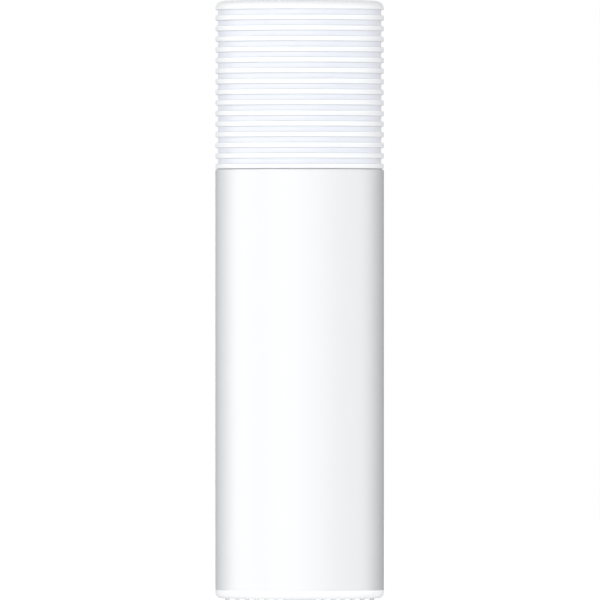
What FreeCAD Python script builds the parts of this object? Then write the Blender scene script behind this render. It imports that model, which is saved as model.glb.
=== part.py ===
"""A mesh wifi node: a slim round tower that stands on a vented foot.

Outside it is a satin sleeve between a glossy base ring and a ribbed, translucent crown. The rear of
the sleeve has a recessed port panel with a power inlet, two Ethernet sockets, a pairing button and a
reset pinhole. Inside, a chassis carries the main board on edge, with the radios under shield cans
and a finned heat sink, and the crown covers four antennas and a ring of status lights.

Millimetres. +Z is up, the front faces -Y and the ports face +Y. The origin is the middle of the
foot's underside. Each sub-part is one STEP file in parts/, named after its node.
"""

import FreeCAD, Part

import math
import os

Vector = FreeCAD.Vector

# ---- Driving dimensions: the outer tower, from the floor up -------------------------------------
outer_radius = 30.0
foot_height = 1.0  # the bars lift the base ring this far off the table
base_height = 2.85  # the glossy band that shows below the sleeve
sleeve_height = 149.75
sleeve_wall = 2.0
fit_gap = 0.1  # clearance of a spigot in its tube

rib_count = 14
rib_pitch = 3.78
rib_depth = 0.95
rib_root_height = 2.05
rib_tip_height = 1.7
rib_tip_round = 0.3
rib_root_round = 0.2
cap_height = 3.1
cap_round = 2.75
crown_wall = 2.05
flange_height = 1.95  # from the sleeve to the top of the crown's lowest rib
shadow_gap = 0.35  # the dark line between the crown and the sleeve
shadow_gap_depth = 0.6

base_bottom = foot_height
sleeve_bottom = base_bottom + base_height
sleeve_top = sleeve_bottom + sleeve_height
crown_bottom = sleeve_top
first_rib = crown_bottom + flange_height - rib_tip_height / 2  # its middle
cap_bottom = first_rib - rib_tip_height / 2 + (rib_count + 1) * rib_pitch
crown_top = cap_bottom + cap_height
inner_radius = outer_radius - sleeve_wall
spigot_radius = inner_radius - fit_gap
groove_radius = outer_radius - rib_depth

# ---- Foot: bars that run front to back, either side of a middle pad ------------------------------
foot_radius = 26.8
foot_web = 1.2
bar_width = 1.6
bar_pitch = 3.43
bars_each_side = 6
first_bar_x = 8.6
pad_half_width = 5.85
vent_radius = 18.5  # the slots between the bars stay inside this circle
vent_cross_web = 3.0
label_width = 9.0
label_length = 33.0
label_thickness = 0.15
label_recess = 0.25

# ---- Fasteners -----------------------------------------------------------------------------------
screw_shank_radius = 1.15
pilot_radius = 1.2
screw_head_radius = 2.2
screw_head_height = 1.4
boss_radius = 3.2
post_circle_radius = 22.5  # the base screws and the crown's posts stand on this circle
post_angles = (45.0, 135.0, 225.0, 315.0)

# ---- Port panel in the rear of the sleeve --------------------------------------------------------
window_half_width = 9.5
window_bottom = 14.0
window_top = 90.0
window_corner = 3.2
panel_gap = 0.2
panel_wall = 1.3
panel_back = 20.0  # y of the panel's inner face
panel_floor = 21.5  # y of the face that the sockets are flush with
power_z = 24.0
ethernet_z = (42.0, 60.0)
pair_z = 76.0
reset_z = 84.5
reset_x = -5.0

# ---- Main board, on edge in the plane x = constant, with its parts on the +X side ------------------
board_face_x = -6.7
board_thickness = 1.6
board_back_x = board_face_x - board_thickness
board_front_y = -20.0
board_rear_y = 19.8
board_bottom = 13.0
board_top = 140.0
board_holes = ((-17.0, 17.0), (-17.0, 136.0), (16.5, 136.0), (16.5, 96.5))
board_hole_radius = 1.35

# ---- Chassis -------------------------------------------------------------------------------------
chassis_radius = 27.6
chassis_ring_inner = 19.5
chassis_bottom = 7.5
chassis_ring_height = 3.0
chassis_top_ring = 141.0
spine_back_x = -13.3
spine_face_x = -11.8
spine_half_width = 17.0
post_top = 146.0  # the light ring's board and the antenna carrier stand here

# ---- Sockets and switches ------------------------------------------------------------------------
jack_half_height = 6.7
jack_half_width = 7.95
jack_back = 3.5
jack_face = 21.4
jack_sheet = 0.4
plug_depth = 12.5
power_bore_radius = 3.1
power_pin_radius = 1.0
power_snout_radius = 4.0
button_radius = 3.0
button_gap = 0.1
switch_width = 6.0
switch_height = 3.4
switch_back = 12.4
switch_face = 16.9
plunger_axis_x = -5.0
plunger_hole_depth = 2.8
plunger_foot_gap = 0.8  # the travel and a little to spare
button_flange_face = 19.2
button_flange_thickness = 0.7

# ---- Radio and cooling ---------------------------------------------------------------------------
processor_centre = (0.0, 86.0)
processor_size = 14.0
processor_height = 1.2
shield_width = 16.0
shield_length = 24.0
shield_height = 2.6
shield_sheet = 0.25
shield_corner = 0.8
chip_bevel = 0.2
chip_mark_radius = 0.35  # the dimple at pin one
chip_mark_inset = 0.9
chip_mark_depth = 0.08
transformer_bevel = 0.5
coil_corner = 1.2
coil_bevel = 0.5
pad_corner = 1.0
shield_centres = ((-9.0, 113.0), (8.0, 113.0))
heat_sink_base_x = -3.6
heat_sink_base = 2.2
heat_sink_fin_height = 11.0
heat_sink_fins = 9
heat_sink_fin = 1.2
heat_sink_half_width = 17.0
heat_sink_bottom = 74.0
heat_sink_top = 128.0
heat_sink_notch_top = 89.0  # it steps round the two switches

# ---- Crown interior ------------------------------------------------------------------------------
light_ring_thickness = 1.2
light_count = 8
light_circle_radius = 22.0
light_board_radius = 25.4
carrier_foot = 1.6
carrier_column = 5.0
carrier_top = 207.0
wing_reach = 19.0
wing_thickness = 1.6
antenna_thickness = 0.8
antenna_radius = wing_reach + antenna_thickness / 2
antenna_bottom = 160.0
antenna_sizes = ((9.0, 44.0), (12.0, 26.0), (9.0, 44.0), (12.0, 26.0))
lead_radius = 0.57
lead_bend = 3.0
lead_plug_z = 131.5
lead_plug_ys = (4.0, 12.0, -4.0, -12.0)
lead_plug_radius = 1.4
lead_plug_height = 1.5


# ---- Helpers -------------------------------------------------------------------------------------
def box(x, y, z):
    """A block between the (low, high) pairs x, y and z."""
    size = [pair[1] - pair[0] for pair in (x, y, z)]
    return Part.makeBox(*size, Vector(x[0], y[0], z[0]))


def rod(radius, start, end):
    """A cylinder between two points."""
    start, end = Vector(*start), Vector(*end)
    return Part.makeCylinder(radius, (end - start).Length, start, end - start)


def ring(inner, outer, z):
    """A flat ring about Z between the (low, high) pair z."""
    return rod(outer, (0, 0, z[0]), (0, 0, z[1])).cut(rod(inner, (0, 0, z[0]), (0, 0, z[1])))


def joined(shapes):
    """One solid from solids that touch or overlap."""
    first, *rest = shapes
    return first.multiFuse(rest).removeSplitter()


def rounded_wire(corners, closed=True):
    """Straight runs through corners given as (point, radius), with a tangent arc at each corner."""
    last = len(corners) - 1
    turns = []
    for i, (point, radius) in enumerate(corners):
        if radius == 0 or (not closed and i in (0, last)):
            turns.append((point, None, point))
            continue
        back = (corners[i - 1][0] - point).normalize()
        ahead = (corners[(i + 1) % len(corners)][0] - point).normalize()
        half_angle = back.getAngle(ahead) / 2
        reach = radius / math.tan(half_angle)
        inward = (back + ahead).normalize() * (radius / math.sin(half_angle) - radius)
        turns.append((point + back * reach, point + inward, point + ahead * reach))
    edges = []
    for i, (start, middle, end) in enumerate(turns):
        if middle is not None:
            edges.append(Part.Arc(start, middle, end).toShape())
        following = turns[(i + 1) % len(turns)][0]
        if (closed or i < last) and (following - end).Length > 1e-6:
            edges.append(Part.LineSegment(end, following).toShape())
    return Part.Wire(edges)


def turned(corners):
    """A solid of revolution about Z, from a closed outline of (radius, z, corner rounding)."""
    outline = rounded_wire([(Vector(r, 0, z), rounding) for r, z, rounding in corners])
    return Part.Face(outline).revolve(Vector(0, 0, 0), Vector(0, 0, 1), 360)


def rear_prism(x, z, y, corner=0.0):
    """A rectangle in X and Z with rounded corners, extruded along Y between the pair y."""
    points = ((x[0], z[0]), (x[1], z[0]), (x[1], z[1]), (x[0], z[1]))
    outline = rounded_wire([(Vector(px, y[0], pz), corner) for px, pz in points])
    return Part.Face(outline).extrude(Vector(0, y[1] - y[0], 0))


def board_prism(y, z, x, corner=0.0):
    """A rectangle in Y and Z with rounded corners, extruded along X between the pair x."""
    points = ((y[0], z[0]), (y[1], z[0]), (y[1], z[1]), (y[0], z[1]))
    outline = rounded_wire([(Vector(x[0], py, pz), corner) for py, pz in points])
    return Part.Face(outline).extrude(Vector(x[1] - x[0], 0, 0))


def on_board(centre, size, height, base=board_face_x):
    """A block on the board's face: centre (y, z), size (along y, along z)."""
    y = (centre[0] - size[0] / 2, centre[0] + size[0] / 2)
    z = (centre[1] - size[1] / 2, centre[1] + size[1] / 2)
    return box((base, base + height), y, z)


def pad(centre, size, base):
    """A soft heat pad with round corners, from base to the heat sink."""
    y = (centre[0] - size[0] / 2, centre[0] + size[0] / 2)
    z = (centre[1] - size[1] / 2, centre[1] + size[1] / 2)
    return board_prism(y, z, (base, heat_sink_base_x), pad_corner)


def edges_at(shape, axis, level):
    """The edges of a shape that lie at one level of an axis, "x", "y" or "z"."""
    return [e for e in shape.Edges if all(abs(getattr(v, axis.upper()) - level) < 1e-6
                                          for v in e.Vertexes)]


def post_places():
    """Where the four posts stand on their circle."""
    turns = [math.radians(angle) for angle in post_angles]
    return [(post_circle_radius * math.cos(a), post_circle_radius * math.sin(a)) for a in turns]


def pan_screw(seat, tip):
    """A pan-head screw whose head rests on seat and whose shank ends at tip."""
    seat, tip = Vector(*seat), Vector(*tip)
    along = (tip - seat).normalize()
    top = seat - along * screw_head_height
    head = Part.makeCylinder(screw_head_radius, screw_head_height, top, along)
    rim = [e for e in head.Edges if e.Curve.TypeId == "Part::GeomCircle"]
    crown = [e for e in rim if (e.Curve.Center - top).Length < 1e-6]
    head = head.makeFillet(0.5, crown)
    shank = Part.makeCylinder(screw_shank_radius, (tip - seat).Length, seat, along)
    across = along.cross(Vector(0, 0, 1) if abs(along.z) < 0.5 else Vector(1, 0, 0))
    recess = []
    for side in (across, along.cross(across)):
        slot = Part.makeBox(0.5, 2.4, 0.9, Vector(-0.25, -1.2, 0))
        turn = FreeCAD.Rotation(along.cross(side), side, along, "ZYX")
        slot.Placement = FreeCAD.Placement(top, turn)
        recess.append(slot)
    return head.fuse(shank).removeSplitter().cut(recess)


# ---- Outer shells --------------------------------------------------------------------------------
def body_sleeve():
    """The satin tube, with a window for the port panel cut through its rear wall."""
    tube = turned(
        [
            (inner_radius, sleeve_bottom, 0),
            (outer_radius, sleeve_bottom, 0.12),
            (outer_radius, sleeve_top, 0.3),
            (inner_radius, sleeve_top, 0),
        ]
    )
    x = (-window_half_width, window_half_width)
    z = (window_bottom, window_top)
    sleeve = tube.cut(rear_prism(x, z, (15.0, outer_radius + 5), window_corner))
    mouth = [edge for edge in sleeve.Edges if on_window_mouth(edge)]
    return sleeve.makeFillet(0.4, mouth)


def on_window_mouth(edge):
    """True for the outer edges of the port window."""
    ends = [vertex.Point for vertex in edge.Vertexes]
    inside = all(window_bottom - 0.1 < p.z < window_top + 0.1 for p in ends)
    outside = all(abs(math.hypot(p.x, p.y) - outer_radius) < 0.01 for p in ends)
    return inside and outside and all(p.y > 20 and abs(p.x) < window_half_width + 0.1 for p in ends)


def crown_cover():
    """The ribbed cup over the antennas. Its lowest rib is the flange that sits on the sleeve."""
    spigot_bottom = crown_bottom - 6.0
    wall_radius = groove_radius - crown_wall
    seat_radius = outer_radius - shadow_gap_depth
    outline = [
        (spigot_radius - 1.7, spigot_bottom, 0),
        (spigot_radius, spigot_bottom, 0.3),
        (spigot_radius, crown_bottom, 0),
        (seat_radius, crown_bottom, 0),
        (seat_radius, crown_bottom + shadow_gap, 0),
        (outer_radius, crown_bottom + shadow_gap, 0.2),
        (outer_radius, first_rib + rib_tip_height / 2, rib_tip_round),
        (groove_radius, first_rib + rib_root_height / 2, rib_root_round),
    ]
    for rib in range(1, rib_count + 1):
        middle = first_rib + rib * rib_pitch
        outline += [
            (groove_radius, middle - rib_root_height / 2, rib_root_round),
            (outer_radius, middle - rib_tip_height / 2, rib_tip_round),
            (outer_radius, middle + rib_tip_height / 2, rib_tip_round),
            (groove_radius, middle + rib_root_height / 2, rib_root_round),
        ]
    outline += [
        (groove_radius, cap_bottom - (rib_root_height - rib_tip_height) / 2, rib_root_round),
        (outer_radius, cap_bottom, rib_tip_round),
        (outer_radius, crown_top, cap_round),
        (0, crown_top, 0),
        (0, crown_top - crown_wall, 0),
        (wall_radius, crown_top - crown_wall, 2.5),
        (wall_radius, crown_bottom + 2.0, 0),
        (spigot_radius - 1.7, crown_bottom + 1.0, 0),
    ]
    return turned(outline)


def vent_slots(z):
    """The slots between the foot's bars, in two halves each, as cutters between the pair z."""
    slots = []
    edges = [pad_half_width]
    for bar in range(bars_each_side):
        middle = first_bar_x + bar * bar_pitch
        edges += [middle - bar_width / 2, middle + bar_width / 2]
    for low, high in zip(edges[0::2], edges[1::2]):
        if high > vent_radius - 1.0:
            break
        reach = math.sqrt(vent_radius**2 - high**2)
        for side in (1, -1):
            x = sorted((side * low, side * high))
            for y in ((vent_cross_web / 2, reach), (-reach, -vent_cross_web / 2)):
                slots.append(box(x, y, z))
    return slots


def base_ring():
    """The glossy end cap: a band with a rounded lower edge, a vented floor and screw bosses."""
    floor_bottom = base_bottom + foot_web
    floor_top = floor_bottom + 1.4
    spigot_inner = spigot_radius - 1.6
    cap = turned(
        [
            (0, floor_bottom, 0),
            (foot_radius + 0.2, floor_bottom, 0),
            (foot_radius + 0.2, base_bottom, 0.2),
            (outer_radius, base_bottom, 2.1),
            (outer_radius, sleeve_bottom, 0.12),
            (spigot_radius, sleeve_bottom, 0),
            (spigot_radius, chassis_bottom - fit_gap, 0.3),
            (spigot_inner, chassis_bottom - fit_gap, 0),
            (spigot_inner, floor_top, 0),
            (0, floor_top, 0),
        ]
    )
    bosses = [rod(boss_radius, (x, y, floor_top), (x, y, chassis_bottom)) for x, y in post_places()]
    cap = joined([cap, *bosses])
    cutters = vent_slots((floor_bottom - 1, floor_top + 1))
    for x, y in post_places():
        cutters.append(rod(screw_head_radius + 0.3, (x, y, 0), (x, y, floor_bottom + 1.8)))
        cutters.append(rod(screw_shank_radius + 0.2, (x, y, 0), (x, y, chassis_bottom + 1)))
    return cap.cut(cutters)


def base_screws():
    """Four screws up through the base ring into the chassis, hidden by the foot."""
    seat = base_bottom + foot_web + 1.8
    return Part.Compound([pan_screw((x, y, seat), (x, y, 10.0)) for x, y in post_places()])


def foot_grille():
    """The soft foot: a web with bars front to back and a middle pad that holds the label."""
    web = rod(foot_radius, (0, 0, base_bottom), (0, 0, base_bottom + foot_web))
    disc = rod(foot_radius, (0, 0, 0), (0, 0, base_bottom))
    bars = [box((-pad_half_width, pad_half_width), (-foot_radius, foot_radius), (0, base_bottom))]
    for bar in range(bars_each_side):
        for side in (1, -1):
            x = side * (first_bar_x + bar * bar_pitch)
            span = (x - bar_width / 2, x + bar_width / 2)
            bars.append(box(span, (-foot_radius, foot_radius), (0, base_bottom)))
    foot = joined([web, *[bar.common(disc) for bar in bars]])
    half_width, half_length = label_width / 2 + 0.2, label_length / 2 + 0.2
    recess = box((-half_width, half_width), (-half_length, half_length), (-1, label_recess))
    return foot.cut([recess, *vent_slots((-1, base_bottom + foot_web + 1))])


def rating_label():
    """The blank label in the foot's pad, a little above the table."""
    x = (-label_width / 2, label_width / 2)
    y = (-label_length / 2, label_length / 2)
    return box(x, y, (label_recess - label_thickness, label_recess))


def port_panel():
    """The recessed panel that frames the sockets, held by a flange behind the sleeve's window."""
    half_width = window_half_width - panel_gap
    x = (-half_width, half_width)
    z = (window_bottom + panel_gap, window_top - panel_gap)
    skin = rod(outer_radius - 0.3, (0, 0, 0), (0, 0, sleeve_top))
    block = rear_prism(x, z, (panel_back, outer_radius + 5), window_corner - panel_gap).common(skin)
    flange = ring(spigot_radius - 1.3, spigot_radius, (window_bottom - 2.2, window_top + 2.2))
    flange = flange.common(box((-12.0, 12.0), (0, outer_radius), (0, sleeve_top)))
    hollow_x = (-half_width + panel_wall, half_width - panel_wall)
    hollow_z = (z[0] + panel_wall, z[1] - panel_wall)
    corner = window_corner - panel_gap - panel_wall
    pocket = rear_prism(hollow_x, hollow_z, (panel_floor, outer_radius + 6), corner)
    jack_x = (-jack_half_height - 0.15, jack_half_height + 0.15)
    cutters = [pocket]
    for middle in ethernet_z:
        jack_z = (middle - jack_half_width - 0.15, middle + jack_half_width + 0.15)
        cutters.append(rear_prism(jack_x, jack_z, (panel_back - 1, panel_floor + 1), 0.3))
    for hole_x, hole_z, radius in (
        (0, power_z, power_snout_radius + 0.15),
        (0, pair_z, button_radius + button_gap),
        (reset_x, reset_z, 0.8),
    ):
        start, end = (hole_x, panel_back - 1, hole_z), (hole_x, panel_floor + 1, hole_z)
        cutters.append(rod(radius, start, end))
        mouth, wide = (hole_x, panel_floor - 0.4, hole_z), radius + 0.4
        cutters.append(Part.makeCone(radius, wide, 0.4, Vector(*mouth), Vector(0, 1, 0)))
    return joined([block, flange]).cut(cutters)


# ---- Frame and board -----------------------------------------------------------------------------
def chassis():
    """The inner frame: two rings joined by a windowed spine with standoffs for the board."""
    lower = (chassis_bottom, chassis_bottom + chassis_ring_height)
    upper = (chassis_top_ring, chassis_top_ring + chassis_ring_height)
    pieces = [board_prism(
        (-spine_half_width, spine_half_width), (lower[0], upper[1]), (spine_back_x, spine_face_x)
    )]
    for z in (lower, upper):
        disc = rod(chassis_radius, (0, 0, z[0]), (0, 0, z[1]))
        web = box((-24.0, spine_face_x), (-spine_half_width, spine_half_width), z)
        pieces += [ring(chassis_ring_inner, chassis_radius, z), web.common(disc)]
    for x, y in post_places():
        pieces.append(rod(2.6, (x, y, upper[1]), (x, y, post_top)))
    for y, z in board_holes:
        pieces.append(rod(2.6, (spine_face_x, y, z), (board_back_x, y, z)))
    cutters = []
    for middle in (36.0, 76.5, 117.0):
        span = (middle - 12.0, middle + 12.0)
        cutters.append(board_prism((-10.0, 10.0), span, (spine_back_x - 1, spine_face_x + 1), 3.0))
    for x, y in post_places():
        cutters.append(rod(pilot_radius, (x, y, chassis_bottom - 1), (x, y, lower[1] + 1)))
        cutters.append(rod(pilot_radius, (x, y, upper[0] + 0.8), (x, y, post_top + 1)))
    for y, z in board_holes:
        cutters.append(rod(pilot_radius, (spine_back_x - 1, y, z), (board_back_x + 1, y, z)))
    return joined(pieces).cut(cutters)


def main_board():
    """The printed circuit board, drilled for its four screws."""
    y = (board_front_y, board_rear_y)
    plate = board_prism(y, (board_bottom, board_top), (board_back_x, board_face_x), 1.5)
    drills = []
    for hole_y, hole_z in board_holes:
        ends = (board_back_x - 1, hole_y, hole_z), (board_face_x + 1, hole_y, hole_z)
        drills.append(rod(board_hole_radius, *ends))
    return plate.cut(drills)


def board_screws():
    """Four screws through the board into the chassis standoffs."""
    screws = [pan_screw((board_face_x, y, z), (spine_face_x, y, z)) for y, z in board_holes]
    return Part.Compound(screws)


# ---- Sockets -------------------------------------------------------------------------------------
def plug_opening(middle, y, grow=0.0):
    """The stepped outline of an Ethernet plug and its latch, extruded along Y."""
    steps = ((4.4, 5.95), (-2.6, 3.2), (-4.2, 1.9), (-5.4, 0))
    right = []
    for (x, half), (next_x, _) in zip(steps, steps[1:]):
        right += [(x + grow, half + grow), (next_x - grow, half + grow)]
    points = right + [(x, -half) for x, half in reversed(right)]
    outline = Part.makePolygon([Vector(x, y[0], middle + dz) for x, dz in points + points[:1]])
    return Part.Face(outline).extrude(Vector(0, y[1] - y[0], 0))


def light_window(middle, side, y):
    """One link light beside the latch: a block between the pair y."""
    z = sorted((middle + side * 4.0, middle + side * 6.9))
    return box((-5.6, -3.8), y, z)


def ethernet_shell(middle):
    """The folded steel can of one Ethernet socket, with its face cut for the plug and lights."""
    x = (-jack_half_height, jack_half_height)
    z = (middle - jack_half_width, middle + jack_half_width)
    can = box(x, (jack_back, jack_face), z)
    hollow_x = (x[0] + jack_sheet, x[1] - jack_sheet)
    hollow_z = (z[0] + jack_sheet, z[1] - jack_sheet)
    hollow = box(hollow_x, (jack_back + jack_sheet, jack_face - jack_sheet), hollow_z)
    face = (jack_face - 1, jack_face + 1)
    cutters = [hollow, plug_opening(middle, face, 0.15)]
    cutters += [light_window(middle, side, face) for side in (1, -1)]
    return can.cut(cutters)


def ethernet_insert(middle):
    """The moulded insert that guides the plug."""
    x = (-jack_half_height + jack_sheet, jack_half_height - jack_sheet)
    z = (middle - jack_half_width + jack_sheet, middle + jack_half_width - jack_sheet)
    block = box(x, (jack_back + jack_sheet, jack_face - jack_sheet), z)
    cutters = [plug_opening(middle, (jack_face - plug_depth, jack_face))]
    cutters += [light_window(middle, side, (jack_face - 2.0, jack_face)) for side in (1, -1)]
    return block.cut(cutters)


def ethernet_contacts(middle):
    """Eight sprung wires along the roof of the plug opening."""
    pitch, radius = 1.02, 0.2
    wires = []
    for index in range(8):
        z = middle + (index - 3.5) * pitch
        wires.append(rod(radius, (4.15, jack_face - 1.6, z), (2.5, jack_face - plug_depth + 1.0, z)))
    return Part.Compound(wires)


def link_lights():
    """The clear light pipes in the faces of both sockets."""
    y = (jack_face - 2.0, jack_face)
    return Part.Compound([light_window(middle, side, y) for middle in ethernet_z for side in (1, -1)])


def power_inlet():
    """The barrel socket: a moulded block with a round snout that fills the panel's hole."""
    bore_bottom = jack_face - 10.4
    block = box((board_face_x, 4.6), (7.3, panel_back - fit_gap), (power_z - 4.6, power_z + 4.6))
    snout = rod(power_snout_radius, (0, panel_back - 1, power_z), (0, jack_face, power_z))
    bore = rod(power_bore_radius, (0, bore_bottom, power_z), (0, jack_face + 1, power_z))
    seat = rod(power_pin_radius, (0, bore_bottom - 2, power_z), (0, jack_face, power_z))
    return joined([block, snout]).cut([bore, seat])


def power_pin():
    """The centre contact of the barrel socket, with a rounded tip."""
    bottom, tip = jack_face - 12.4, jack_face - 0.8
    pin = rod(power_pin_radius, (0, bottom, power_z), (0, tip, power_z))
    rim = edges_at(pin, "y", tip)
    return pin.makeFillet(0.6, [edge for edge in rim if edge.Curve.TypeId == "Part::GeomCircle"])


# ---- Switches and the button ---------------------------------------------------------------------
def switch_body(middle):
    """A tactile switch that faces the rear, open round its plunger."""
    z = (middle - switch_width / 2, middle + switch_width / 2)
    body = box((board_face_x, board_face_x + switch_height), (switch_back, switch_face), z)
    body = body.makeChamfer(0.3, edges_at(body, "y", switch_face))
    return body.cut(plunger_block(middle, 0.08, switch_face + 1, 0))


def plunger_block(middle, grow, face, foot_gap=plunger_foot_gap):
    """The plunger, from inside the switch to face, or the hole for it when it is grown."""
    x = (plunger_axis_x - 0.8 - grow, plunger_axis_x + 0.8 + grow)
    z = (middle - 1.3 - grow, middle + 1.3 + grow)
    return box(x, (switch_face - plunger_hole_depth + foot_gap, face), z)


def plunger(middle):
    """A switch's plunger, with softened edges at its tip."""
    block = plunger_block(middle, 0, button_flange_face)
    return block.makeFillet(0.2, edges_at(block, "y", button_flange_face))


def pair_button():
    """The round button, with a flange behind the panel that reaches down to its switch."""
    flange_back = button_flange_face
    flange_y = (flange_back, flange_back + button_flange_thickness)
    stem_end = panel_floor + 1.0
    stem = rod(button_radius, (0, flange_y[0], pair_z), (0, stem_end, pair_z))
    rim = edges_at(stem, "y", stem_end)
    stem = stem.makeFillet(0.5, [e for e in rim if e.Curve.TypeId == "Part::GeomCircle"])
    flange = rear_prism((board_face_x + 0.4, 4.2), (pair_z - 4.2, pair_z + 4.2), flange_y, 1.0)
    dish = Part.makeSphere(14.0, Vector(0, stem_end + 14.0 - 0.25, pair_z))
    return joined([stem, flange]).cut(dish)


# ---- Parts on the board --------------------------------------------------------------------------
def chip(centre, size, height):
    """A moulded chip package, with bevelled top edges and a dimple at pin one."""
    top = board_face_x + height
    body = on_board(centre, size, height)
    body = body.makeChamfer(chip_bevel, edges_at(body, "x", top))
    y = centre[0] - size[0] / 2 + chip_mark_inset
    z = centre[1] + size[1] / 2 - chip_mark_inset
    return body.cut(rod(chip_mark_radius, (top - chip_mark_depth, y, z), (top + 1, y, z)))


def line_transformer(middle):
    """A potted transformer block behind its socket, with bevelled edges and a groove round it."""
    width, length, height = 9.0, 14.0, 5.5
    centre = (-4.0, middle)
    body = on_board(centre, (width, length), height)
    body = body.makeChamfer(transformer_bevel, edges_at(body, "x", board_face_x + height))
    band = on_board(centre, (width + 1, length + 1), 0.3, board_face_x + 1.2)
    core = on_board(centre, (width - 0.5, length - 0.5), height)
    return body.cut(band.cut(core))


def power_coil():
    """A moulded inductor with round corners."""
    centre_y, centre_z, half, height = -13.5, 44.0, 3.5, 4.0
    top = board_face_x + height
    coil = board_prism((centre_y - half, centre_y + half), (centre_z - half, centre_z + half),
                       (board_face_x, top), coil_corner)
    return coil.makeChamfer(coil_bevel, edges_at(coil, "x", top))


def shield_can(centre):
    """A folded steel lid over one radio, with round corners, open towards the board."""
    shells = []
    for inset, height in ((0, shield_height), (shield_sheet, shield_height - shield_sheet)):
        half_width = shield_width / 2 - inset
        half_length = shield_length / 2 - inset
        y = (centre[0] - half_width, centre[0] + half_width)
        z = (centre[1] - half_length, centre[1] + half_length)
        shells.append(board_prism(y, z, (board_face_x, board_face_x + height),
                                  shield_corner - inset))
    return shells[0].cut(shells[1])


def capacitor(centre):
    """An electrolytic can standing on the board."""
    y, z = centre
    can = rod(4.0, (board_face_x, y, z), (board_face_x + 9.0, y, z))
    collar = Part.makeTorus(4.35, 0.55, Vector(board_face_x + 1.6, y, z), Vector(1, 0, 0))
    return can.cut(collar)


def heat_sink():
    """An extruded aluminium sink with upright fins over the processor and the radios."""
    y = (-heat_sink_half_width, heat_sink_half_width)
    z = (heat_sink_bottom, heat_sink_top)
    fin_root = heat_sink_base_x + heat_sink_base
    pieces = [box((heat_sink_base_x, fin_root), y, z)]
    step = (2 * heat_sink_half_width - heat_sink_fin) / (heat_sink_fins - 1)
    for index in range(heat_sink_fins):
        low = -heat_sink_half_width + index * step
        pieces.append(box((fin_root, fin_root + heat_sink_fin_height), (low, low + heat_sink_fin), z))
    clear = [rod(3.0, (heat_sink_base_x - 1, y, z), (20, y, z)) for y, z in sink_screw_places()]
    clear.append(box((heat_sink_base_x - 1, 20), (switch_back - 0.5, 20), (0, heat_sink_notch_top)))
    pieces = [joined(pieces).cut(clear)]
    for y, z in sink_screw_places():
        pieces.append(rod(3.0, (heat_sink_base_x, y, z), (fin_root, y, z)))
    holes = [rod(pilot_radius, (-10, y, z), (20, y, z)) for y, z in sink_screw_places()]
    return joined(pieces).cut(holes)


def sink_screw_places():
    """Where the heat sink's two screws stand, as (y, z)."""
    return ((-12.8, 97.2), (0.0, 97.2))


def heat_sink_screws():
    """Two short screws that pull the heat sink onto its posts on the board."""
    seat = heat_sink_base_x + heat_sink_base
    tip = board_face_x + 0.4
    return Part.Compound([pan_screw((seat, y, z), (tip, y, z)) for y, z in sink_screw_places()])


def heat_sink_posts():
    """Threaded posts soldered to the board under the heat sink."""
    posts = []
    for y, z in sink_screw_places():
        post = rod(2.0, (board_face_x, y, z), (heat_sink_base_x, y, z))
        posts.append(post.cut(rod(pilot_radius, (board_face_x - 1, y, z), (0, y, z))))
    return Part.Compound(posts)


# ---- Crown interior ------------------------------------------------------------------------------
def light_board():
    """The ring-shaped board of the status lights, on the chassis posts."""
    z = (post_top, post_top + light_ring_thickness)
    plate = ring(chassis_ring_inner, light_board_radius, z)
    return plate.cut([rod(1.35, (x, y, z[0] - 1), (x, y, z[1] + 1)) for x, y in post_places()])


def status_lights():
    """Surface-mounted lights, evenly spaced and clear of the screws."""
    base = post_top + light_ring_thickness
    lights = []
    for index in range(light_count):
        light = box((-1.4, 1.4), (-1.4, 1.4), (base, base + 0.9))
        lens = Part.makeCone(0.9, 1.15, 0.35, Vector(0, 0, base + 0.55))
        light = light.cut(lens)
        light.translate(Vector(light_circle_radius, 0, 0))
        turn = (index + 0.5) * 360.0 / light_count
        light.rotate(Vector(0, 0, 0), Vector(0, 0, 1), turn)
        lights.append(light)
    return Part.Compound(lights)


def light_guide():
    """The frosted ring that spreads the lights evenly into the crown."""
    base = post_top + light_ring_thickness + carrier_foot
    guide = turned(
        [
            (20.0, base, 0),
            (24.4, base, 0),
            (24.4, base + 2.0, 0),
            (25.6, base + 6.0, 0.4),
            (24.0, base + 6.0, 0.4),
            (20.0, base + 2.0, 0),
        ]
    )
    pocket_top = base + screw_head_height + 0.3
    return guide.cut([rod(2.9, (x, y, base - 1), (x, y, pocket_top)) for x, y in post_places()])


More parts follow.
